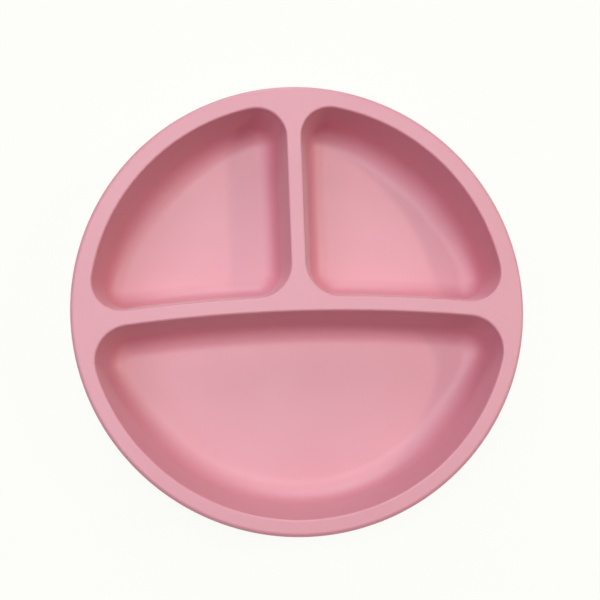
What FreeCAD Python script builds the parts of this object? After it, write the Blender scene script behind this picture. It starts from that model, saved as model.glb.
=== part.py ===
import FreeCAD, Part
import math
import os
import Sketcher

# A round baby plate, moulded in one piece of soft silicone. A flat rim runs round it, and a T of two
# dividers parts it into two upper compartments, which mirror each other, and one large lower one. The
# compartments have drafted walls that sweep into a flat floor. Under the floor is a suction foot: a
# short neck that carries a thin flat lip, round a shallow hollow with a sloping wall.
# Z is up and Z = 0 is the table. The Z axis is the middle of the round outline, and the upright divider
# of the T runs along +Y, towards the far side of the plate.

# Driving sizes, in millimetres and degrees
SIZES = (
    ("plate_diameter", 190.0, "across the outside of the rim"),
    ("upper_rim_width", 7.9, "flat rim beside the two upper compartments"),
    ("lower_rim_width", 7.0, "flat rim beside the lower compartment"),
    ("rim_bevel", 1.0, "slope on the outer edge of the rim, both across and down"),
    ("side_draft", 18.0, "lean of the outside wall from upright"),
    ("base_bevel", 6.0, "slope between the outside wall and the underside, both across and up"),
    ("divider_width", 6.3, "flat top of both dividers"),
    ("cross_divider_offset", 0.4, "middle of the cross divider ahead of the plate's centre"),
    ("cross_divider_arch", 665.0, "radius of the cross divider's gentle arch, at its middle line"),
    ("top_corner_radius", 12.7, "upper compartments, upright divider to rim"),
    ("side_corner_radius", 12.8, "upper compartments, rim to cross divider"),
    ("inner_corner_radius", 15.0, "upper compartments, where the dividers meet"),
    ("lower_corner_radius", 14.5, "lower compartment, rim to cross divider"),
    ("compartment_depth", 24.5, "rim down to the floor"),
    ("wall_draft", 10.0, "lean of the compartments' walls from upright"),
    ("floor_sweep_radius", 9.0, "sweep from the walls into the floor"),
    ("mouth_edge_radius", 1.0, "soft edge round the mouth of each compartment"),
    ("floor_thickness", 2.5, "floor of the compartments, outside the foot"),
    ("foot_height", 4.0, "table up to the underside"),
    ("lip_diameter", 120.0, "outside of the suction lip"),
    ("lip_overhang", 7.0, "suction lip, out from the foot's neck"),
    ("lip_root_thickness", 2.0, "suction lip where it leaves the neck"),
    ("lip_edge_thickness", 1.0, "suction lip at its outer edge"),
    ("neck_wall", 9.0, "foot's neck, in from its outside to the hollow's ceiling"),
    ("hollow_depth", 3.0, "hollow inside the foot, table up to its flat ceiling"),
    ("hollow_slope_width", 6.0, "sloping wall of the hollow, out from the ceiling to the table"),
)

# A sketch's own origin and vertical axis, and the points of its curves
ORIGIN, VERTICAL_AXIS = range(-1, -3, -1)
START, END, CENTRE = range(1, 4)

# Two places nearer than this are the same place
TOLERANCE = 0.001

# Points looked at along an edge, to find where it runs
EDGE_POINTS = 9

# Places that several features share, as formulas of the sheet
RIM_RADIUS = "sizes.plate_diameter / 2"
HALF_DIVIDER = "sizes.divider_width / 2"
PLATE_HEIGHT = "sizes.foot_height + sizes.floor_thickness + sizes.compartment_depth"
NECK_RADIUS = "sizes.lip_diameter / 2 - sizes.lip_overhang"

# Largest sweep that the tightest corner leaves room for, at the foot of its leaning wall
TIGHTEST_CORNER = (
    "min(sizes.top_corner_radius; sizes.side_corner_radius;"
    " sizes.inner_corner_radius; sizes.lower_corner_radius)"
)
CORNER_AT_FOOT = f"({TIGHTEST_CORNER} - sizes.compartment_depth * tan(sizes.wall_draft * 1 deg))"
WIDEST_SWEEP = f"{CORNER_AT_FOOT} * 0.99 / tan(45 deg - sizes.wall_draft * 0.5 deg)"

doc = FreeCAD.newDocument("baby_plate")
sheet = doc.addObject("Spreadsheet::Sheet", "sizes")
for row, (alias, value, note) in enumerate(SIZES, 1):
    sheet.set(f"A{row}", alias)
    sheet.set(f"B{row}", str(value))
    sheet.set(f"C{row}", note)
    sheet.setAlias(f"B{row}", alias)
doc.recompute()

body = doc.addObject("PartDesign::Body", "plate")
body.Label = "plate"

# The same shared places, as numbers that the sketches are drawn from
rim_radius = sheet.plate_diameter / 2
half_divider = sheet.divider_width / 2
floor_height = sheet.foot_height + sheet.floor_thickness
plate_height = floor_height + sheet.compartment_depth
middle = FreeCAD.Vector(0, 0, 0)
arch_middle = FreeCAD.Vector(0, sheet.cross_divider_offset - sheet.cross_divider_arch, 0)


def origin_plane(role):
    """One of the body's own origin planes."""
    return [plane for plane in body.Origin.OriginFeatures if plane.Role == role][0]


def new_sketch(name, role):
    """An empty sketch on one of the body's origin planes."""
    sketch = body.newObject("Sketcher::SketchObject", name)
    sketch.AttachmentSupport = (origin_plane(role), "")
    sketch.MapMode = "FlatFace"
    return sketch


def add_arc(sketch, centre, start, end):
    """Arc that runs anticlockwise round a centre, from one point to another."""
    circle = Part.Circle(centre, FreeCAD.Vector(0, 0, 1), centre.distanceToPoint(start))
    angles = [math.atan2(point.y - centre.y, point.x - centre.x) for point in (start, end)]
    return sketch.addGeometry(Part.ArcOfCircle(circle, *angles))


def add_lines(sketch, points):
    """Straight lines from each point to the next."""
    return [sketch.addGeometry(Part.LineSegment(*ends)) for ends in zip(points, points[1:])]


def constrain(sketch, kind, *places):
    """Adds constraints of one kind, each on its own curves or points."""
    for place in places:
        sketch.addConstraint(Sketcher.Constraint(kind, *place))


def bind(sketch, name, formula, *constraint):
    """Adds a constraint under a name, and ties its value to the sheet."""
    index = sketch.addConstraint(Sketcher.Constraint(*constraint))
    sketch.renameConstraint(index, name)
    sketch.setExpression("Constraints." + name, formula)


def on_circle(centre, towards, radius):
    """Point of a circle that lies in the direction of another point."""
    return centre + (towards - centre).normalize() * radius


def corner_centre(to_middle, to_arch_middle):
    """Point right of the Y axis, at one distance from the plate's middle and one from the arch's."""
    drop = arch_middle.y
    y = (to_middle**2 - to_arch_middle**2 + drop**2) / (2 * drop)
    return FreeCAD.Vector(math.sqrt(to_middle**2 - y**2), y, 0)


def corner_beside_divider(radius, centre, reach):
    """Centre of a corner that touches the upright divider, at a distance from another centre."""
    x = half_divider + radius
    return FreeCAD.Vector(x, centre.y + math.sqrt(reach**2 - x**2), 0)


def draw_section():
    """Half section of the moulding before its compartments, from the foot's lip round to the top."""
    lip_radius = sheet.lip_diameter / 2
    neck_radius = lip_radius - sheet.lip_overhang
    ceiling_radius = neck_radius - sheet.neck_wall
    hollow_radius = ceiling_radius + sheet.hollow_slope_width
    lean = math.radians(sheet.side_draft)
    side_top = FreeCAD.Vector(rim_radius, plate_height - sheet.rim_bevel, 0)
    side_foot_y = sheet.foot_height + sheet.base_bevel
    side_foot_x = rim_radius - (side_top.y - side_foot_y) * math.tan(lean)
    corners = [
        FreeCAD.Vector(hollow_radius, 0, 0),
        FreeCAD.Vector(lip_radius, 0, 0),
        FreeCAD.Vector(lip_radius, sheet.lip_edge_thickness, 0),
        FreeCAD.Vector(neck_radius, sheet.lip_root_thickness, 0),
        FreeCAD.Vector(neck_radius, sheet.foot_height, 0),
        FreeCAD.Vector(side_foot_x - sheet.base_bevel, sheet.foot_height, 0),
        FreeCAD.Vector(side_foot_x, side_foot_y, 0),
        side_top,
        FreeCAD.Vector(rim_radius - sheet.rim_bevel, plate_height, 0),
        FreeCAD.Vector(0, plate_height, 0),
        FreeCAD.Vector(0, sheet.hollow_depth, 0),
        FreeCAD.Vector(ceiling_radius, sheet.hollow_depth, 0),
    ]

    sketch = new_sketch("section", "XZ_Plane")
    lines = add_lines(sketch, corners + corners[:1])
    seal, lip_edge, lip_top, neck, underside, base, side, rim, top, axis, ceiling, slope = lines
    for line, following in zip(lines, lines[1:] + lines[:1]):
        constrain(sketch, "Coincident", (line, END, following, START))
    constrain(sketch, "Horizontal", (seal,), (underside,), (top,), (ceiling,))
    constrain(sketch, "Vertical", (lip_edge,), (neck,), (axis,))
    constrain(sketch, "PointOnObject", (seal, START, ORIGIN), (axis, END, VERTICAL_AXIS))

    def from_axis(name, formula, line, value):
        bind(sketch, name, formula, "DistanceX", ORIGIN, START, line, START, value)

    def above_table(name, formula, line, value):
        bind(sketch, name, formula, "DistanceY", ORIGIN, START, line, START, value)

    def across(name, formula, line, left, right, value):
        bind(sketch, name, formula, "DistanceX", line, left, line, right, value)

    def upward(name, formula, line, value):
        bind(sketch, name, formula, "DistanceY", line, START, line, END, value)

    from_axis("lip_radius", "sizes.lip_diameter / 2", lip_edge, lip_radius)
    from_axis("neck_radius", NECK_RADIUS, neck, neck_radius)
    from_axis("ceiling_radius", f"{NECK_RADIUS} - sizes.neck_wall", slope, ceiling_radius)
    from_axis("rim_radius", RIM_RADIUS, rim, rim_radius)
    above_table("lip_edge", "sizes.lip_edge_thickness", lip_top, sheet.lip_edge_thickness)
    above_table("lip_root", "sizes.lip_root_thickness", neck, sheet.lip_root_thickness)
    above_table("underside", "sizes.foot_height", underside, sheet.foot_height)
    above_table("ceiling", "sizes.hollow_depth", ceiling, sheet.hollow_depth)
    above_table("plate_height", PLATE_HEIGHT, top, plate_height)
    across("slope_across", "sizes.hollow_slope_width", slope, START, END, sheet.hollow_slope_width)
    across("base_across", "sizes.base_bevel", base, START, END, sheet.base_bevel)
    across("rim_across", "sizes.rim_bevel", rim, END, START, sheet.rim_bevel)
    upward("base_upward", "sizes.base_bevel", base, sheet.base_bevel)
    upward("rim_upward", "sizes.rim_bevel", rim, sheet.rim_bevel)
    bind(sketch, "side_lean", "90 deg - sizes.side_draft * 1 deg", "Angle", side, math.pi / 2 - lean)
    return sketch


def fix_mouth(sketch, outer, arch, rim_width, rim_name, arch_radius, arch_formula):
    """Lifts a mouth to the top of the rim, and centres its two large arcs."""
    sketch.setExpression("AttachmentOffset.Base.z", PLATE_HEIGHT)
    constrain(sketch, "Coincident", (outer, CENTRE, ORIGIN, START))
    constrain(sketch, "PointOnObject", (arch, CENTRE, VERTICAL_AXIS))
    bind(sketch, "arch_drop", "sizes.cross_divider_arch - sizes.cross_divider_offset",
         "DistanceY", arch, CENTRE, ORIGIN, START, -arch_middle.y)
    bind(sketch, "arch_radius", arch_formula, "Radius", arch, arch_radius)
    bind(sketch, "outer_radius", f"{RIM_RADIUS} - sizes.{rim_name}", "Radius", outer,
         rim_radius - rim_width)


def draw_upper_mouth():
    """Mouth of the upper right compartment: rim, upright divider, cross divider and three corners."""
    outer_radius = rim_radius - sheet.upper_rim_width
    arch_radius = sheet.cross_divider_arch + half_divider
    top_radius = sheet.top_corner_radius
    side_radius = sheet.side_corner_radius
    inner_radius = sheet.inner_corner_radius
    top_centre = corner_beside_divider(top_radius, middle, outer_radius - top_radius)
    side_centre = corner_centre(outer_radius - side_radius, arch_radius + side_radius)
    inner_centre = corner_beside_divider(inner_radius, arch_middle, arch_radius + inner_radius)
    top_on_rim = on_circle(middle, top_centre, outer_radius)
    side_on_rim = on_circle(middle, side_centre, outer_radius)
    side_on_arch = on_circle(arch_middle, side_centre, arch_radius)
    inner_on_arch = on_circle(arch_middle, inner_centre, arch_radius)
    divider_top = FreeCAD.Vector(half_divider, top_centre.y, 0)
    divider_foot = FreeCAD.Vector(half_divider, inner_centre.y, 0)

    sketch = new_sketch("upper_mouth", "XY_Plane")
    outer = add_arc(sketch, middle, side_on_rim, top_on_rim)
    top = add_arc(sketch, top_centre, top_on_rim, divider_top)
    upright = sketch.addGeometry(Part.LineSegment(divider_top, divider_foot))
    inner = add_arc(sketch, inner_centre, divider_foot, inner_on_arch)
    arch = add_arc(sketch, arch_middle, side_on_arch, inner_on_arch)
    side = add_arc(sketch, side_centre, side_on_arch, side_on_rim)
    constrain(sketch, "Tangent", (outer, END, top, START),
              (top, END, upright, START), (upright, END, inner, START),
              (inner, END, arch, END), (arch, START, side, START),
              (side, END, outer, START))
    constrain(sketch, "Vertical", (upright,))
    fix_mouth(sketch, outer, arch, sheet.upper_rim_width, "upper_rim_width",
              arch_radius, f"sizes.cross_divider_arch + {HALF_DIVIDER}")
    bind(sketch, "half_divider", HALF_DIVIDER, "DistanceX", ORIGIN, START, upright, START,
         half_divider)
    bind(sketch, "top_corner", "sizes.top_corner_radius", "Radius", top, top_radius)
    bind(sketch, "side_corner", "sizes.side_corner_radius", "Radius", side, side_radius)
    bind(sketch, "inner_corner", "sizes.inner_corner_radius", "Radius", inner, inner_radius)
    return sketch


def draw_lower_mouth():
    """Mouth of the lower compartment: rim, cross divider and two like corners."""
    outer_radius = rim_radius - sheet.lower_rim_width
    arch_radius = sheet.cross_divider_arch - half_divider
    corner_radius = sheet.lower_corner_radius
    right_centre = corner_centre(outer_radius - corner_radius, arch_radius - corner_radius)
    left_centre = FreeCAD.Vector(-right_centre.x, right_centre.y, 0)
    centres = (left_centre, right_centre)
    left_on_rim, right_on_rim = [on_circle(middle, centre, outer_radius) for centre in centres]
    left_on_arch, right_on_arch = [on_circle(arch_middle, centre, arch_radius) for centre in centres]

    sketch = new_sketch("lower_mouth", "XY_Plane")
    outer = add_arc(sketch, middle, left_on_rim, right_on_rim)
    right = add_arc(sketch, right_centre, right_on_rim, right_on_arch)
    arch = add_arc(sketch, arch_middle, right_on_arch, left_on_arch)
    left = add_arc(sketch, left_centre, left_on_arch, left_on_rim)
    constrain(sketch, "Tangent", (outer, END, right, START),
              (right, END, arch, START), (arch, END, left, START),
              (left, END, outer, START))
    constrain(sketch, "Equal", (right, left))
    fix_mouth(sketch, outer, arch, sheet.lower_rim_width, "lower_rim_width",
              arch_radius, f"sizes.cross_divider_arch - {HALF_DIVIDER}")
    bind(sketch, "corner", "sizes.lower_corner_radius", "Radius", right, corner_radius)
    return sketch


def sink_compartment(name, mouth):
    """Compartment sunk straight down from its mouth, with walls that draw in towards the floor."""
    before = body.Tip.Shape.Volume
    pocket = body.newObject("PartDesign::Pocket", name)
    pocket.Profile = mouth
    pocket.setExpression("Length", "sizes.compartment_depth")
    pocket.setExpression("TaperAngle", "-sizes.wall_draft")
    doc.recompute()
    if pocket.Shape.Volume >= before:
        raise RuntimeError(f"{name} took nothing out of the plate")
    return pocket


def level_edges(height, furthest):
    """Names of the present shape's edges that lie level at a height and stay within a reach of the axis."""
    names = []
    for number, edge in enumerate(body.Tip.Shape.Edges, 1):
        if edge.Degenerated:
            continue
        points = edge.discretize(EDGE_POINTS)
        reach = max(math.hypot(point.x, point.y) for point in points)
        level = all(abs(point.z - height) < TOLERANCE for point in points)
        if level and reach < furthest + TOLERANCE:
            names.append(f"Edge{number}")
    return names


def round_edges(name, edges, formula):
    """Round on a set of edges of the present shape."""
    base = body.Tip
    fillet = body.newObject("PartDesign::Fillet", name)
    fillet.Base = (base, edges)
    fillet.setExpression("Radius", formula)
    doc.recompute()


# The turned form of the moulding
blank = body.newObject("PartDesign::Revolution", "blank")
section = draw_section()
blank.Profile = section
blank.ReferenceAxis = (section, ["V_Axis"])
blank.Angle = 360
body.Tip = blank
doc.recompute()

# The three compartments
upper_right = sink_compartment("upper_right", draw_upper_mouth())
upper_left = body.newObject("PartDesign::Mirrored", "upper_left")
upper_left.Originals = [upper_right]
upper_left.MirrorPlane = (origin_plane("YZ_Plane"), [""])
body.Tip = upper_left
doc.recompute()
sink_compartment("lower", draw_lower_mouth())

# Sweeps into the floors, and the soft edges of the mouths
round_edges("floor_sweeps", level_edges(floor_height, rim_radius),
            f"min(sizes.floor_sweep_radius; {WIDEST_SWEEP})")
mouth_reach = rim_radius - min(sheet.upper_rim_width, sheet.lower_rim_width)
round_edges("mouth_edges", level_edges(plate_height, mouth_reach), "sizes.mouth_edge_radius")

# Nothing is written unless every feature was made and the plate is one sound solid
doc.recompute()
for item in doc.Objects:
    if "Invalid" in item.State or "Error" in item.State:
        raise RuntimeError(f"{item.Name} could not be made")
plate = body.Shape
if plate.isNull() or not plate.isValid() or len(plate.Solids) != 1:
    raise RuntimeError("the plate is not one sound solid")

os.makedirs("parts", exist_ok=True)
plate.exportStep("parts/plate.step")
box = plate.optimalBoundingBox()
print(f"plate: {plate.Volume / 1000:.1f} cm3, {box.XLength:.2f} x {box.YLength:.2f} x {box.ZLength:.2f} mm")
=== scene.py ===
"""Looks of a round divided baby plate, moulded in one piece of soft pink silicone.

The plate is one closed surface, worked out with numpy. Its flat top is parted into three cells
that meet along the middle lines of the dividers. Each cell holds one compartment, and the outside
of the plate is a profile turned about the Z axis. All lengths are in metres, in the frame of the
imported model.
"""

import math

import bpy
import numpy as np
from mathutils import Matrix, Vector


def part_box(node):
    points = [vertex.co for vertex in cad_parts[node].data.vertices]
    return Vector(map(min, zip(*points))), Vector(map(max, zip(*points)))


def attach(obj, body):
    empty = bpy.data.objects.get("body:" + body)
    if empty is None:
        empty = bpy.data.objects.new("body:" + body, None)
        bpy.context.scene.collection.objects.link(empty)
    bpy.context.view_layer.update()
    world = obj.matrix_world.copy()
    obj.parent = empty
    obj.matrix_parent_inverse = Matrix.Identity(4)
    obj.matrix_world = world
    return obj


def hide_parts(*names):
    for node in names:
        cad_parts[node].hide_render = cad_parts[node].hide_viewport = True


bl_info = {
    "name": "Divided baby plate",
    "version": (1, 0, 0),
    "blender": (4, 5, 0),
    "location": "3D View > Sidebar > Baby plate",
    "description": "Builds the silicone plate and its studio",
    "category": "Object",
}

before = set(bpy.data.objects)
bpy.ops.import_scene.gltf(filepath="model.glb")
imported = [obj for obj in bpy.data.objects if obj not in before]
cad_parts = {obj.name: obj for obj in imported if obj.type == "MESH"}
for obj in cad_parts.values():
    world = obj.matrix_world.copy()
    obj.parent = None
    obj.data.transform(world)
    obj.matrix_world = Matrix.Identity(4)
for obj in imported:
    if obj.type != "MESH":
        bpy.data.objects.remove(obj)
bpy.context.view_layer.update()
PLATE_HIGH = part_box("plate")[1]

# Places nearer than this are one place of the mesh
WELD_STEP = 1e-8

# Grid steps on each kind of stretch of the compartments' outlines
HALF_CORNER_STEPS = 9
UPRIGHT_STEPS = 20
CROSS_STEPS = 28
UPPER_RIM_STEPS = 60
LOWER_RIM_STEPS = 140

# Grid steps on each round of a profile
MOUTH_STEPS = 8
SWEEP_STEPS = 16
OUTSIDE_STEPS = 12
FOOT_STEPS = 6

# Shares of the way from the edge of a flat floor to its middle
FLOOR_SHARES = np.array([0.06, 0.2, 0.4, 0.6, 0.8, 1.0])

# A flat place beside a round has a row of points this share of the round's radius away
FLAT_MARGIN = 0.08

# Radius of the foot's small rounds, as a share of the thickness of its lip's outer edge, which
# has two of them
FOOT_EDGE_SHARE = 0.4

# A mouth faces straight away from the axis where the cosine of its angle off that is this near 1
FACING_MARGIN = 4e-5

# Half the width of the square table
TABLE_REACH = 3.0

# Place, width and colour of each lamp. Its power is in the studio's settings, by the same name
LAMPS = {
    "overhead": ((0.0, 0.6, 3.4), 1.8, (0.93, 1.04, 1.04)),
    "key": ((-0.2, 3.0, 1.7), 1.6, (0.80, 1.04, 1.06)),
    "right": ((2.4, 0.4, 2.4), 1.6, (0.93, 1.04, 1.04)),
    "side": ((1.15, 0.2, 1.13), 0.12, (0.96, 1.0, 0.72)),
    "fill": ((-1.2, 0.1, 1.5), 1.1, (0.92, 0.98, 1.14)),
}


class BABYPLATE_PG_sizes(bpy.types.PropertyGroup):
    """Sizes of the plate."""

    rim_radius: bpy.props.FloatProperty(
        name="Rim radius", description="Middle of the plate to the outside of its rim",
        default=PLATE_HIGH.x, unit="LENGTH")
    height: bpy.props.FloatProperty(
        name="Height", description="Table to the top of the rim",
        default=PLATE_HIGH.z, unit="LENGTH")
    upper_rim_width: bpy.props.FloatProperty(
        name="Upper rim width", description="Flat rim beside the two upper compartments",
        default=0.0079, unit="LENGTH")
    lower_rim_width: bpy.props.FloatProperty(
        name="Lower rim width", description="Flat rim beside the lower compartment",
        default=0.0070, unit="LENGTH")
    divider_width: bpy.props.FloatProperty(
        name="Divider width", description="Flat top of both dividers",
        default=0.0063, unit="LENGTH")
    cross_divider_offset: bpy.props.FloatProperty(
        name="Cross divider offset",
        description="Cross divider's middle ahead of the plate's middle",
        default=0.0004, unit="LENGTH")
    cross_divider_arch: bpy.props.FloatProperty(
        name="Cross divider arch", description="Radius of the cross divider's gentle arch",
        default=0.665, unit="LENGTH")
    top_corner: bpy.props.FloatProperty(
        name="Top corner", description="Corner between the upright divider and the rim",
        default=0.0127, unit="LENGTH")
    side_corner: bpy.props.FloatProperty(
        name="Side corner",
        description="Upper compartments' corner between the rim and the cross divider",
        default=0.0128, unit="LENGTH")
    inner_corner: bpy.props.FloatProperty(
        name="Inner corner", description="Corner where the two dividers meet",
        default=0.0150, unit="LENGTH")
    lower_corner: bpy.props.FloatProperty(
        name="Lower corner",
        description="Lower compartment's corner between the rim and the cross divider",
        default=0.0145, unit="LENGTH")
    depth: bpy.props.FloatProperty(
        name="Depth", description="Rim down to the floors of the compartments",
        default=0.0245, unit="LENGTH")
    wall_draft: bpy.props.FloatProperty(
        name="Wall draft", description="Lean from upright of the walls at dividers and corners",
        default=math.radians(10), subtype="ANGLE")
    floor_sweep: bpy.props.FloatProperty(
        name="Floor sweep",
        description="Radius of the sweep into the floor from the walls at dividers and corners",
        default=0.0090, unit="LENGTH")
    rim_wall_draft: bpy.props.FloatProperty(
        name="Rim wall draft", description="Lean from upright of the walls well along the rim",
        default=math.radians(16), subtype="ANGLE")
    rim_sweep: bpy.props.FloatProperty(
        name="Rim sweep",
        description="Radius of the sweep into the floor from the walls well along the rim",
        default=0.0115, unit="LENGTH")
    rim_fade: bpy.props.FloatProperty(
        name="Rim fade",
        description="Distance from the corners over which the walls take the rim's lean and sweep",
        default=0.042, unit="LENGTH")
    mouth_edge: bpy.props.FloatProperty(
        name="Mouth edge", description="Radius of the soft edge round each compartment",
        default=0.0010, unit="LENGTH")
    rim_edge: bpy.props.FloatProperty(
        name="Rim edge", description="Radius of the rim's outer edge",
        default=0.0018, unit="LENGTH")
    side_draft: bpy.props.FloatProperty(
        name="Side draft", description="Lean of the outside wall from upright",
        default=math.radians(18), subtype="ANGLE")
    base_edge: bpy.props.FloatProperty(
        name="Base edge", description="Radius between the outside wall and the underside",
        default=0.0100, unit="LENGTH")
    foot_height: bpy.props.FloatProperty(
        name="Foot height", description="Table up to the underside",
        default=0.0040, unit="LENGTH")
    lip_radius: bpy.props.FloatProperty(
        name="Lip radius", description="Middle of the plate to the outside of the suction lip",
        default=0.0600, unit="LENGTH")
    lip_overhang: bpy.props.FloatProperty(
        name="Lip overhang", description="Suction lip, out from the foot's neck",
        default=0.0070, unit="LENGTH")
    lip_root: bpy.props.FloatProperty(
        name="Lip root", description="Thickness of the suction lip beside the neck",
        default=0.0020, unit="LENGTH")
    lip_tip: bpy.props.FloatProperty(
        name="Lip tip", description="Thickness of the suction lip at its outer edge",
        default=0.0010, unit="LENGTH")
    neck_wall: bpy.props.FloatProperty(
        name="Neck wall",
        description="Outside of the foot's neck to the edge of the hollow's ceiling",
        default=0.0090, unit="LENGTH")
    hollow_depth: bpy.props.FloatProperty(
        name="Hollow depth", description="Table up to the ceiling of the hollow in the foot",
        default=0.0030, unit="LENGTH")
    hollow_slope: bpy.props.FloatProperty(
        name="Hollow slope", description="Width of the hollow's sloping wall",
        default=0.0060, unit="LENGTH")


class BABYPLATE_PG_finish(bpy.types.PropertyGroup):
    """Finish of the silicone."""

    colour: bpy.props.FloatVectorProperty(
        name="Colour", description="Pink of the silicone", size=3, subtype="COLOR",
        default=(0.700, 0.243, 0.308), min=0.0, max=1.0)
    deep_colour: bpy.props.FloatVectorProperty(
        name="Deep colour", description="Pink of the silicone where its pigment is denser",
        size=3, subtype="COLOR", default=(0.675, 0.222, 0.284), min=0.0, max=1.0)
    mottle_scale: bpy.props.FloatProperty(
        name="Mottle scale", description="Patches of denser pigment to a metre", default=28.0)
    mottle_detail: bpy.props.FloatProperty(
        name="Mottle detail", description="Finer layers within the patches", default=3.0)
    least_roughness: bpy.props.FloatProperty(
        name="Least roughness", description="Roughness where the pigment is thin",
        default=0.48, min=0.0, max=1.0)
    most_roughness: bpy.props.FloatProperty(
        name="Most roughness", description="Roughness where the pigment is dense",
        default=0.54, min=0.0, max=1.0)
    grain_scale: bpy.props.FloatProperty(
        name="Grain scale", description="Grains of the matt surface to a metre", default=2600.0)
    grain_detail: bpy.props.FloatProperty(
        name="Grain detail", description="Finer layers within the grain", default=2.0)
    grain_height: bpy.props.FloatProperty(
        name="Grain height", description="Height of the grains of the matt surface",
        default=0.00002, unit="LENGTH")
    grain_strength: bpy.props.FloatProperty(
        name="Grain strength", description="Share of the grain's height that tilts the surface",
        default=0.35, subtype="FACTOR")
    refraction: bpy.props.FloatProperty(
        name="Refraction", description="Index of refraction of the silicone", default=1.6)
    gloss: bpy.props.FloatProperty(
        name="Gloss", description="Strength of the reflection, where 0.5 is the index's own",
        default=1.0, subtype="FACTOR")
    sheen: bpy.props.FloatProperty(
        name="Sheen", description="Strength of the pale bloom that shows at a glancing view",
        default=0.22, subtype="FACTOR")
    sheen_roughness: bpy.props.FloatProperty(
        name="Sheen roughness", description="How far the bloom reaches from a glancing view",
        default=0.4, subtype="FACTOR")
    sheen_colour: bpy.props.FloatVectorProperty(
        name="Sheen colour", description="Colour of the bloom", size=3, subtype="COLOR",
        default=(1.0, 1.0, 1.0), min=0.0, max=1.0)
    scatter: bpy.props.FloatProperty(
        name="Scatter", description="Share of the light that spreads inside the silicone",
        default=0.18, subtype="FACTOR")
    scatter_depth: bpy.props.FloatProperty(
        name="Scatter depth", description="Distance that light spreads inside the silicone",
        default=0.0025, unit="LENGTH")
    scatter_shares: bpy.props.FloatVectorProperty(
        name="Scatter shares", description="Share of that distance for red, green and blue light",
        size=3, default=(1.0, 0.42, 0.38))


class BABYPLATE_PG_studio(bpy.types.PropertyGroup):
    """Camera, lamps and background."""

    camera_lean: bpy.props.FloatVectorProperty(
        name="Camera lean",
        description="Lean of the view from straight down, to the left and to the front",
        size=2, subtype="EULER", default=(math.radians(4.4), math.radians(8.0)))
    camera_distance: bpy.props.FloatProperty(
        name="Camera distance", description="Camera to the point that it looks at",
        default=0.420, unit="LENGTH")
    camera_aim: bpy.props.FloatVectorProperty(
        name="Camera aim", description="Point on top of the rim that the camera looks at",
        size=2, subtype="TRANSLATION", default=(-0.0001, 0.0019), unit="LENGTH")
    camera_roll: bpy.props.FloatProperty(
        name="Camera roll", description="Turn of the camera about its line of sight",
        default=math.radians(-2.19), subtype="ANGLE")
    camera_lens: bpy.props.FloatProperty(
        name="Camera lens", description="Focal length in millimetres", default=60.39)
    nearest_view: bpy.props.FloatProperty(
        name="Nearest view", description="Distance from the camera at which it begins to see",
        default=0.01, unit="LENGTH")
    background: bpy.props.FloatVectorProperty(
        name="Background", description="Colour of the table and the space behind it",
        size=3, subtype="COLOR", default=(1.0, 1.0, 0.965), min=0.0, max=1.0)
    table_colour: bpy.props.FloatVectorProperty(
        name="Table colour", description="Colour of the table where the lamps light it",
        size=3, subtype="COLOR", default=(0.9, 0.9, 0.87), min=0.0, max=1.0)
    shadow_share: bpy.props.FloatProperty(
        name="Shadow share", description="Share of the table's look that the lamps light",
        default=0.07, subtype="FACTOR")
    overhead_power: bpy.props.FloatProperty(
        name="Overhead lamp", description="Power of the wide soft lamp high above the plate",
        default=42.8, unit="POWER")
    key_power: bpy.props.FloatProperty(
        name="Key lamp", description="Power of the wide soft lamp beyond the plate",
        default=38.0, unit="POWER")
    right_power: bpy.props.FloatProperty(
        name="Right lamp", description="Power of the wide soft lamp high on the right",
        default=10.0, unit="POWER")
    side_power: bpy.props.FloatProperty(
        name="Side lamp", description="Power of the small yellowish lamp on the right",
        default=4.0, unit="POWER")
    fill_power: bpy.props.FloatProperty(
        name="Fill lamp", description="Power of the bluish soft lamp on the left",
        default=8.3, unit="POWER")
    sky_strength: bpy.props.FloatProperty(
        name="Sky", description="Strength of the even light all round", default=0.09)
    sky_colour: bpy.props.FloatVectorProperty(
        name="Sky colour", description="Colour of the even light all round",
        size=3, subtype="COLOR", default=(1.04, 1.0, 1.0), min=0.0)


def directions(angles):
    """Unit vectors (cos a, sin a) of an array of angles a."""
    return np.stack([np.cos(angles), np.sin(angles)], axis=-1)


def angle_of(vector):
    """Angle of a vector from the X axis, anticlockwise."""
    return math.atan2(vector[1], vector[0])


def spread(start, end, count):
    """Values that go evenly from start towards end, without end itself."""
    return start + (end - start) * np.arange(count) / count


def rounded_profile(points, rounds):
    """Line of straight stretches whose inner corners are rounded.

    At each corner, an arc of the given radius r touches both stretches. It begins and ends
    r / tan(half the corner's angle) from the corner, and its centre is r / sin(half the angle)
    away along the bisector. Each arc also gets a point a little way before it and one after it.
    """
    points = np.array(points, float)
    line = [points[:1]]
    for before, corner, after, (radius, steps) in zip(points, points[1:], points[2:], rounds):
        back = (before - corner) / np.linalg.norm(before - corner)
        ahead = (after - corner) / np.linalg.norm(after - corner)
        half_angle = math.acos(np.clip(back @ ahead, -1, 1)) / 2
        reach = radius / math.tan(half_angle)
        bisector = (back + ahead) / np.linalg.norm(back + ahead)
        centre = corner + bisector * radius / math.sin(half_angle)
        first = angle_of(corner + back * reach - centre)
        turn = angle_of(corner + ahead * reach - centre) - first
        turn = (turn + math.pi) % (2 * math.pi) - math.pi
        margin = radius * FLAT_MARGIN
        line.append((corner + back * (reach + margin))[None])
        line.append(centre + radius * directions(first + turn * np.linspace(0, 1, steps + 1)))
        line.append((corner + ahead * (reach + margin))[None])
    line.append(points[-1:])
    return np.concatenate(line)


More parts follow.
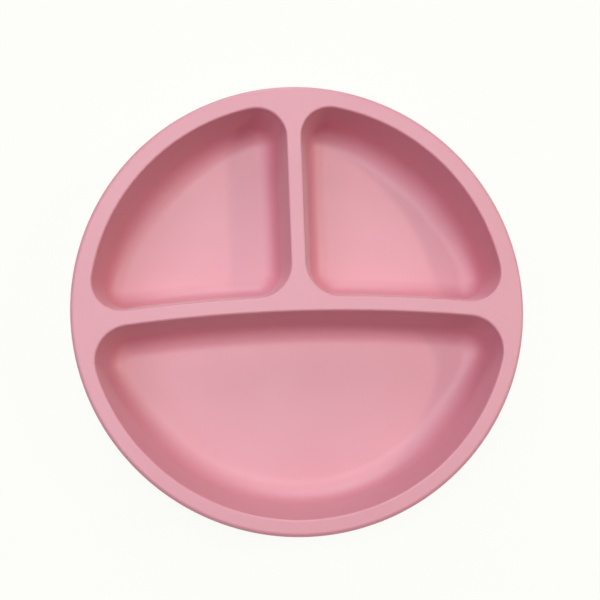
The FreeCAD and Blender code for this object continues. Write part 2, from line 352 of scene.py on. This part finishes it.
class Outline:
    """Closed outline of a compartment's mouth, matched point by point to the edge of its cell.

    It runs anticlockwise. Each stretch adds points of the mouth, the directions in which the mouth
    faces outwards there, and the points of the cell's edge that go with them.
    """

    def __init__(self):
        self.mouth, self.outward, self.edge = [], [], []

    def add_arc(self, centre, radius, angles, edge, facing=1):
        """Stretch of a circle. Its outward directions point away from the centre, or to it."""
        rays = directions(angles)
        self.mouth.append(centre + radius * rays)
        self.outward.append(facing * rays)
        self.edge.append(edge)

    def add_line(self, points, outward, edge):
        """Straight stretch that faces one way."""
        self.mouth.append(points)
        self.outward.append(np.broadcast_to(outward, points.shape))
        self.edge.append(edge)

    def arrays(self):
        """Mouth, outward directions and cell edge as whole arrays."""
        return [np.concatenate(parts) for parts in (self.mouth, self.outward, self.edge)]


class PlatePlan:
    """Plan of the plate's top: the middles of the corners, and the dividers' middle lines.

    A corner touches the two stretches that it joins, so its middle lies its own radius away from
    both of them: where two circles cross, or a circle and a line beside the upright divider.
    """

    def __init__(self, sizes):
        self.middle = np.zeros(2)
        self.arch_middle = np.array([0.0, sizes.cross_divider_offset - sizes.cross_divider_arch])
        self.arch = sizes.cross_divider_arch
        self.half_divider = sizes.divider_width / 2
        self.land_radius = sizes.rim_radius - sizes.rim_edge * (1 + FLAT_MARGIN)
        self.upper_radius = sizes.rim_radius - sizes.upper_rim_width
        self.lower_radius = sizes.rim_radius - sizes.lower_rim_width
        self.sizes = sizes

        inner_x = self.half_divider + sizes.inner_corner
        inner_reach = self.arch + self.half_divider + sizes.inner_corner
        inner_y = self.arch_middle[1] + math.sqrt(inner_reach**2 - inner_x**2)
        self.inner = np.array([inner_x, inner_y])
        top_x = self.half_divider + sizes.top_corner
        top_reach = self.upper_radius - sizes.top_corner
        self.top = np.array([top_x, math.sqrt(top_reach**2 - top_x**2)])
        self.side = self.crossing(self.upper_radius - sizes.side_corner,
                                  self.arch + self.half_divider + sizes.side_corner)
        self.lower = self.crossing(self.lower_radius - sizes.lower_corner,
                                   self.arch - self.half_divider - sizes.lower_corner)
        self.end = self.crossing(self.land_radius, self.arch)

        # The cross divider's middle line, in steps that go with the upper compartment's stretches
        self.cross_angles = np.concatenate([
            spread(math.pi / 2, self.about_arch(self.inner), HALF_CORNER_STEPS),
            spread(self.about_arch(self.inner), self.about_arch(self.side), CROSS_STEPS),
            spread(self.about_arch(self.side), self.about_arch(self.end), HALF_CORNER_STEPS),
            [self.about_arch(self.end)],
        ])
        self.cross = self.arch_middle + self.arch * directions(self.cross_angles)

    def crossing(self, to_middle, to_arch_middle):
        """Point on the right at given distances from the plate's middle and from the arch's.

        With m the arch's middle on the Y axis, its y is (first^2 - second^2 + m^2) / 2m.
        """
        arch_y = self.arch_middle[1]
        y = (to_middle**2 - to_arch_middle**2 + arch_y**2) / (2 * arch_y)
        return np.array([math.sqrt(to_middle**2 - y**2), y])

    def about_arch(self, point):
        """Angle of a point as seen from the middle of the cross divider's arch."""
        return angle_of(point - self.arch_middle)

    def rim_edge(self, start, end, count):
        """Points of the land's round outer edge, from one angle towards another."""
        return self.land_radius * directions(spread(start, end, count))

    def middle_line(self, start, end, count):
        """Points of the upright divider's middle line, from one height towards another."""
        y = spread(start, end, count)
        return np.stack([np.zeros(count), y], axis=-1)

    def upper_right(self):
        """Outline of the upper right compartment, from the cross divider's end right round."""
        sizes = self.sizes
        # Angles between which the corners' arcs run, and those that halve them
        at_side, at_top, at_end = angle_of(self.side), angle_of(self.top), angle_of(self.end)
        arch_at_side = self.about_arch(self.side) - math.pi
        arch_at_inner = self.about_arch(self.inner) + math.pi
        side_middle = (arch_at_side + at_side) / 2
        top_middle = (at_top + math.pi) / 2
        inner_middle = (math.pi + arch_at_inner) / 2
        corner = HALF_CORNER_STEPS
        inner_end = corner + CROSS_STEPS

        outline = Outline()
        outline.add_arc(self.side, sizes.side_corner, spread(side_middle, at_side, corner),
                        self.rim_edge(at_end, at_side, corner))
        outline.add_arc(self.middle, self.upper_radius, spread(at_side, at_top, UPPER_RIM_STEPS),
                        self.rim_edge(at_side, at_top, UPPER_RIM_STEPS))
        outline.add_arc(self.top, sizes.top_corner, spread(at_top, top_middle, corner),
                        self.rim_edge(at_top, math.pi / 2, corner))
        outline.add_arc(self.top, sizes.top_corner, spread(top_middle, math.pi, corner),
                        self.middle_line(self.land_radius, self.top[1], corner))
        upright = self.middle_line(self.top[1], self.inner[1], UPRIGHT_STEPS)
        outline.add_line(upright + [self.half_divider, 0], [-1.0, 0.0], upright)
        outline.add_arc(self.inner, sizes.inner_corner, spread(math.pi, inner_middle, corner),
                        self.middle_line(self.inner[1], sizes.cross_divider_offset, corner))
        outline.add_arc(self.inner, sizes.inner_corner,
                        spread(inner_middle, arch_at_inner, corner), self.cross[:corner])
        outline.add_arc(self.arch_middle, self.arch + self.half_divider,
                        self.cross_angles[corner:inner_end], self.cross[corner:inner_end],
                        facing=-1)
        outline.add_arc(self.side, sizes.side_corner,
                        spread(arch_at_side, side_middle, corner), self.cross[inner_end:-1])
        return outline.arrays()

    def lower_right_half(self):
        """Right half of the lower compartment's outline, from its front to the arch's middle."""
        sizes = self.sizes
        at_corner, at_end = angle_of(self.lower), angle_of(self.end)
        arch_at_corner = self.about_arch(self.lower)
        corner_middle = (at_corner + arch_at_corner) / 2
        corner = HALF_CORNER_STEPS
        rim_steps = LOWER_RIM_STEPS // 2
        inwards = self.cross[::-1]

        # Each point of the cross divider's middle line goes with the point of this side of the
        # divider that lies at the same share of the way from its middle to its corner
        upright = math.pi / 2
        turns = self.cross_angles[::-1][corner:] - upright
        share = turns / (self.about_arch(self.side) - upright)
        arch_angles = upright + share * (arch_at_corner - upright)

        outline = Outline()
        outline.add_arc(self.middle, self.lower_radius, spread(-math.pi / 2, at_corner, rim_steps),
                        self.rim_edge(-math.pi / 2, at_corner, rim_steps))
        outline.add_arc(self.lower, sizes.lower_corner, spread(at_corner, corner_middle, corner),
                        self.rim_edge(at_corner, at_end, corner))
        outline.add_arc(self.lower, sizes.lower_corner,
                        spread(corner_middle, arch_at_corner, corner), inwards[:corner])
        outline.add_arc(self.arch_middle, self.arch - self.half_divider, arch_angles,
                        inwards[corner:])
        return outline.arrays()


def mirrored(points):
    """Points mirrored across the upright divider, in reverse, so still anticlockwise."""
    return points[::-1] * [-1.0, 1.0]


def along_rim(mouth, outward, sizes):
    """How far each point of a mouth lies along the rim: 0 away from it, 1 well along it.

    Along the rim the mouth faces straight away from the plate's axis. With x the distance to the
    nearest point that doesn't, divided by the length of the fade and at most 1, this is
    3x^2 - 2x^3.
    """
    rays = mouth / np.linalg.norm(mouth, axis=1, keepdims=True)
    others = mouth[np.sum(rays * outward, axis=1) < 1 - FACING_MARGIN]
    away = np.linalg.norm(mouth[:, None] - others[None], axis=-1).min(axis=1)
    x = np.minimum(away / sizes.rim_fade, 1)
    return x * x * (3 - 2 * x)


def wall_profile(draft, sweep, sizes):
    """Profile from the land beside a mouth down to the floor, as pairs of inset and drop.

    It is flat land, a soft edge, a wall with the given lean, a sweep of the given radius and the
    edge of the flat floor. The wall's foot lies depth * tan(lean) in from the mouth.
    """
    foot = sizes.depth * math.tan(draft)
    line = rounded_profile(
        [(-sizes.upper_rim_width, 0), (0, 0), (foot, sizes.depth),
         (foot + sizes.depth, sizes.depth)],
        [(sizes.mouth_edge, MOUTH_STEPS), (sweep, SWEEP_STEPS)])
    return line[1:-2]


def compartment_rows(outline, floor_middle, sizes):
    """Rows of points from a cell's edge over its mouth and down to the middle of its floor.

    Each row is the mouth moved inwards by an inset and lowered by a drop, which follow the wall's
    profile. At a point that lies a share s along the rim, the profile is the dividers' one plus s
    times the way from it to the rim's. The last rows draw the floor's edge in to its middle.
    """
    mouth, outward, edge = outline
    by_dividers = wall_profile(sizes.wall_draft, sizes.floor_sweep, sizes)
    by_rim = wall_profile(sizes.rim_wall_draft, sizes.rim_sweep, sizes)
    share = along_rim(mouth, outward, sizes)
    profiles = by_dividers[:, None] + (by_rim - by_dividers)[:, None] * share[:, None]
    inset, drop = profiles[..., 0], profiles[..., 1]
    rows = mouth[None] - outward[None] * inset[..., None]
    floor = rows[-1] + (floor_middle - rows[-1]) * FLOOR_SHARES[:, None, None]
    plan = np.concatenate([edge[None], rows, floor])
    drops = np.full(plan.shape[:2], sizes.depth)
    drops[0] = 0.0
    drops[1:len(rows) + 1] = drop
    return np.concatenate([plan, sizes.height - drops[..., None]], axis=-1)


def outside_rows(rim, sizes):
    """Rows of points from the rim's outer edge down the outside and under the plate to its axis.

    It is a profile of radius and height turned about the Z axis: at each point of the rim, the
    profile's radius is carried along the ray from the axis to that point. The rim's corner lies
    edge radius * (tan(45 degrees + lean / 2) - 1) beyond the rim, so that its round is just as
    wide as the rim.
    """
    rays = rim / np.linalg.norm(rim, axis=1, keepdims=True)
    lean = sizes.side_draft
    rim_corner = sizes.rim_radius + sizes.rim_edge * (math.tan(math.pi / 4 + lean / 2) - 1)
    base_corner = rim_corner - (sizes.height - sizes.foot_height) * math.tan(lean)
    neck = sizes.lip_radius - sizes.lip_overhang
    ceiling = neck - sizes.neck_wall
    corners = [
        (np.linalg.norm(rim[0]), sizes.height),
        (rim_corner, sizes.height),
        (base_corner, sizes.foot_height),
        (neck, sizes.foot_height),
        (neck, sizes.lip_root),
        (sizes.lip_radius, sizes.lip_tip),
        (sizes.lip_radius, 0),
        (ceiling + sizes.hollow_slope, 0),
        (ceiling, sizes.hollow_depth),
        (0, sizes.hollow_depth),
    ]
    rounds = [(sizes.rim_edge, OUTSIDE_STEPS), (sizes.base_edge, OUTSIDE_STEPS)]
    foot_round = (sizes.lip_tip * FOOT_EDGE_SHARE, FOOT_STEPS)
    rounds += [foot_round] * (len(corners) - 2 - len(rounds))
    profile = rounded_profile(corners, rounds)
    # The point before the first arc lies where the land ends, and the profile starts there already
    profile = np.delete(profile, 1, axis=0)
    radius, height = profile.T
    plan = rays[None] * radius[:, None, None]
    heights = np.broadcast_to(height[:, None, None], plan.shape[:2] + (1,))
    rows = np.concatenate([plan, heights], axis=-1)
    # Each row is turned round, so that the faces point outwards
    return rows[:, ::-1]


def welded(grids):
    """One closed surface from grids of closed rows, joined where their points are at one place.

    Squares join each row to the next. A row whose points are all one place is a pole, and its
    squares become triangles.
    """
    points = np.concatenate([grid.reshape(-1, 3) for grid in grids])
    keys = np.round(points / WELD_STEP).astype(np.int64)
    _, kept, place = np.unique(keys, axis=0, return_index=True, return_inverse=True)
    place = place.ravel()
    squares = []
    first = 0
    for grid in grids:
        number = place[first:first + grid.shape[0] * grid.shape[1]].reshape(grid.shape[:2])
        first += number.size
        upper, lower = number[:-1], number[1:]
        ring = [upper, np.roll(upper, -1, axis=1), np.roll(lower, -1, axis=1), lower]
        squares.append(np.stack(ring, axis=-1).reshape(-1, 4))
    squares = np.concatenate(squares)
    at_pole = squares[:, 2] == squares[:, 3]
    return points[kept], squares[~at_pole].tolist() + squares[at_pole][:, :3].tolist()


def plate_surface(sizes):
    """The whole plate as points and faces: three compartments in their cells, and the outside."""
    plan = PlatePlan(sizes)
    upper_right = plan.upper_right()
    half = plan.lower_right_half()
    upper_left = [mirrored(part) for part in upper_right]
    lower = [np.concatenate([part, mirrored(part)[1:-1]]) for part in half]
    upper_middle = (plan.inner + plan.top + plan.side) / 3
    lower_middle = np.array([0.0, -plan.lower_radius / 2])
    middles = (upper_middle, upper_middle * [-1, 1], lower_middle)
    cells = [compartment_rows(outline, middle, sizes)
             for outline, middle in zip((upper_right, upper_left, lower), middles)]

    right_rim = upper_right[2][:2 * HALF_CORNER_STEPS + UPPER_RIM_STEPS]
    lower_rim = half[2][:LOWER_RIM_STEPS // 2 + HALF_CORNER_STEPS]
    top = np.array([[0.0, plan.land_radius]])
    right = np.concatenate([lower_rim, right_rim, top])
    rim = np.concatenate([right, mirrored(right)[1:-1]])
    return welded(cells + [outside_rows(rim, sizes)])


def silicone_material(finish):
    """Matt silicone: pink with faint patches of denser pigment, a fine grain and a soft bloom."""
    material = bpy.data.materials.new("silicone")
    material.use_nodes = True
    nodes, links = material.node_tree.nodes, material.node_tree.links
    shader = nodes["Principled BSDF"]
    shader.inputs["IOR"].default_value = finish.refraction
    shader.inputs["Specular IOR Level"].default_value = finish.gloss
    shader.inputs["Sheen Weight"].default_value = finish.sheen
    shader.inputs["Sheen Roughness"].default_value = finish.sheen_roughness
    shader.inputs["Sheen Tint"].default_value = (*finish.sheen_colour, 1.0)
    shader.inputs["Subsurface Weight"].default_value = finish.scatter
    shader.inputs["Subsurface Radius"].default_value = finish.scatter_shares
    shader.inputs["Subsurface Scale"].default_value = finish.scatter_depth

    place = nodes.new("ShaderNodeTexCoord")
    patches = nodes.new("ShaderNodeTexNoise")
    patches.inputs["Scale"].default_value = finish.mottle_scale
    patches.inputs["Detail"].default_value = finish.mottle_detail
    colour = nodes.new("ShaderNodeMix")
    colour.data_type = "RGBA"
    colour.inputs["A"].default_value = (*finish.colour, 1.0)
    colour.inputs["B"].default_value = (*finish.deep_colour, 1.0)
    roughness = nodes.new("ShaderNodeMapRange")
    roughness.inputs["To Min"].default_value = finish.least_roughness
    roughness.inputs["To Max"].default_value = finish.most_roughness
    grain = nodes.new("ShaderNodeTexNoise")
    grain.inputs["Scale"].default_value = finish.grain_scale
    grain.inputs["Detail"].default_value = finish.grain_detail
    bump = nodes.new("ShaderNodeBump")
    bump.inputs["Strength"].default_value = finish.grain_strength
    bump.inputs["Distance"].default_value = finish.grain_height

    links.new(place.outputs["Object"], patches.inputs["Vector"])
    links.new(place.outputs["Object"], grain.inputs["Vector"])
    links.new(patches.outputs["Fac"], colour.inputs["Factor"])
    links.new(patches.outputs["Fac"], roughness.inputs["Value"])
    links.new(colour.outputs["Result"], shader.inputs["Base Color"])
    links.new(roughness.outputs["Result"], shader.inputs["Roughness"])
    links.new(grain.outputs["Fac"], bump.inputs["Height"])
    links.new(bump.outputs["Normal"], shader.inputs["Normal"])
    return material


def add_object(context, name, data):
    """New object in the scene that holds the given data."""
    made = bpy.data.objects.new(name, data)
    context.scene.collection.objects.link(made)
    return made


class BABYPLATE_OT_plate(bpy.types.Operator):
    """Builds the silicone plate as one closed surface"""

    bl_idname = "babyplate.plate"
    bl_label = "Plate"

    def execute(self, context):
        vertices, faces = plate_surface(context.scene.babyplate_sizes)
        mesh = bpy.data.meshes.new("plate_silicone")
        mesh.from_pydata(vertices.tolist(), [], faces)
        if mesh.validate():
            raise RuntimeError("the plate's surface has faulty faces")
        mesh.shade_smooth()
        mesh.materials.append(silicone_material(context.scene.babyplate_finish))
        piece = add_object(context, "plate_silicone", mesh)
        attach(piece, "root")
        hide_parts("plate")
        return {"FINISHED"}


def backdrop_ray(nodes, links):
    """Value of 1 for rays that see the background: those of the camera, of gloss and of glass."""
    rays = nodes.new("ShaderNodeLightPath")
    total = None
    for name in ("Is Camera Ray", "Is Glossy Ray", "Is Transmission Ray"):
        if total is None:
            total = rays.outputs[name]
            continue
        larger = nodes.new("ShaderNodeMath")
        larger.operation = "MAXIMUM"
        links.new(total, larger.inputs[0])
        links.new(rays.outputs[name], larger.inputs[1])
        total = larger.outputs[0]
    return total


def table_material(studio):
    """White table, which the lamps light.

    To the camera, and in gloss and glass, it is the plain background with a share of the lit look,
    so that the plate's shadow shows.
    """
    material = bpy.data.materials.new("table")
    material.use_nodes = True
    nodes, links = material.node_tree.nodes, material.node_tree.links
    nodes.clear()
    output = nodes.new("ShaderNodeOutputMaterial")
    lit = nodes.new("ShaderNodeBsdfDiffuse")
    lit.inputs["Color"].default_value = (*studio.table_colour, 1.0)
    plain = nodes.new("ShaderNodeEmission")
    plain.inputs["Color"].default_value = (*studio.background, 1.0)
    seen = nodes.new("ShaderNodeMixShader")
    seen.inputs[0].default_value = studio.shadow_share
    links.new(plain.outputs[0], seen.inputs[1])
    links.new(lit.outputs[0], seen.inputs[2])
    choice = nodes.new("ShaderNodeMixShader")
    links.new(backdrop_ray(nodes, links), choice.inputs[0])
    links.new(lit.outputs[0], choice.inputs[1])
    links.new(seen.outputs[0], choice.inputs[2])
    links.new(choice.outputs[0], output.inputs["Surface"])
    return material


def studio_world(studio):
    """Even light all round, and the plain background to the camera and in gloss and glass."""
    world = bpy.data.worlds.new("studio")
    world.use_nodes = True
    nodes, links = world.node_tree.nodes, world.node_tree.links
    nodes.clear()
    output = nodes.new("ShaderNodeOutputWorld")
    sky = nodes.new("ShaderNodeBackground")
    sky.inputs["Strength"].default_value = studio.sky_strength
    sky.inputs["Color"].default_value = (*studio.sky_colour, 1.0)
    plain = nodes.new("ShaderNodeBackground")
    plain.inputs["Color"].default_value = (*studio.background, 1.0)
    choice = nodes.new("ShaderNodeMixShader")
    links.new(backdrop_ray(nodes, links), choice.inputs[0])
    links.new(sky.outputs[0], choice.inputs[1])
    links.new(plain.outputs[0], choice.inputs[2])
    links.new(choice.outputs[0], output.inputs["Surface"])
    return world


def looking(place, aim, roll=0.0):
    """Place and turn of a camera or lamp that looks from one point to another.

    Its back points away from the aim, its right is +Y cross back, and +Y is upwards in its view.
    The roll turns it about its line of sight.
    """
    back = (place - aim).normalized()
    right = Vector((0, 1, 0)).cross(back).normalized()
    turn = Matrix((right, back.cross(right), back)).transposed().to_4x4()
    return Matrix.Translation(place) @ turn @ Matrix.Rotation(roll, 4, "Z")


def add_lamp(context, name, place, width, power, colour):
    """Round soft lamp that shines on the middle of the plate."""
    light = bpy.data.lights.new(name, "AREA")
    light.shape = "DISK"
    light.size = width
    light.energy = power
    light.color = colour
    add_object(context, name, light).matrix_world = looking(place, Vector((0, 0, 0)))


class BABYPLATE_OT_stage(bpy.types.Operator):
    """Builds the table, the lamps, the sky and the camera"""

    bl_idname = "babyplate.stage"
    bl_label = "Studio"

    def execute(self, context):
        scene = context.scene
        studio = scene.babyplate_studio
        table = bpy.data.meshes.new("table")
        reach = TABLE_REACH
        corners = [(-reach, -reach, 0), (reach, -reach, 0), (reach, reach, 0), (-reach, reach, 0)]
        table.from_pydata(corners, [], [(0, 1, 2, 3)])
        table.materials.append(table_material(studio))
        add_object(context, "table", table)

        for name, (place, width, colour) in LAMPS.items():
            power = getattr(studio, f"{name}_power")
            add_lamp(context, name, Vector(place), width, power, colour)

        scene.world = studio_world(studio)
        scene.view_settings.view_transform = "Standard"

        left, front = (math.tan(angle) for angle in studio.camera_lean)
        aim = Vector((*studio.camera_aim, PLATE_HIGH.z))
        place = aim + Vector((-left, -front, 1)).normalized() * studio.camera_distance
        camera = bpy.data.cameras.new("camera")
        camera.lens = studio.camera_lens
        camera.clip_start = studio.nearest_view
        scene.camera = add_object(context, "camera", camera)
        scene.camera.matrix_world = looking(place, aim, studio.camera_roll)
        return {"FINISHED"}


class BABYPLATE_PT_panel(bpy.types.Panel):
    """The plate and its studio, in the order in which they are built"""

    bl_idname = "BABYPLATE_PT_panel"
    bl_label = "Baby plate"
    bl_space_type = "VIEW_3D"
    bl_region_type = "UI"
    bl_category = "Baby plate"

    def draw(self, context):
        for operator in OPERATORS:
            self.layout.operator(operator.bl_idname)
        for name in GROUPS:
            group = getattr(context.scene, name)
            box = self.layout.box()
            for prop in group.bl_rna.properties:
                if not prop.is_readonly and prop.identifier != "name":
                    box.prop(group, prop.identifier)


OPERATORS = (BABYPLATE_OT_plate, BABYPLATE_OT_stage)
GROUPS = {
    "babyplate_sizes": BABYPLATE_PG_sizes,
    "babyplate_finish": BABYPLATE_PG_finish,
    "babyplate_studio": BABYPLATE_PG_studio,
}


def register():
    """Makes the sizes, the operators and the panel known to Blender."""
    for group in GROUPS.values():
        bpy.utils.register_class(group)
    for name, group in GROUPS.items():
        setattr(bpy.types.Scene, name, bpy.props.PointerProperty(type=group))
    for operator in OPERATORS:
        bpy.utils.register_class(operator)
    bpy.utils.register_class(BABYPLATE_PT_panel)


def unregister():
    """Takes them away again."""
    bpy.utils.unregister_class(BABYPLATE_PT_panel)
    for operator in reversed(OPERATORS):
        bpy.utils.unregister_class(operator)
    for name in GROUPS:
        delattr(bpy.types.Scene, name)
    for group in reversed(GROUPS.values()):
        bpy.utils.unregister_class(group)


def main():
    """Builds the plate and its studio."""
    register()
    bpy.ops.babyplate.plate()
    bpy.ops.babyplate.stage()


if __name__ == "__main__":
    main()
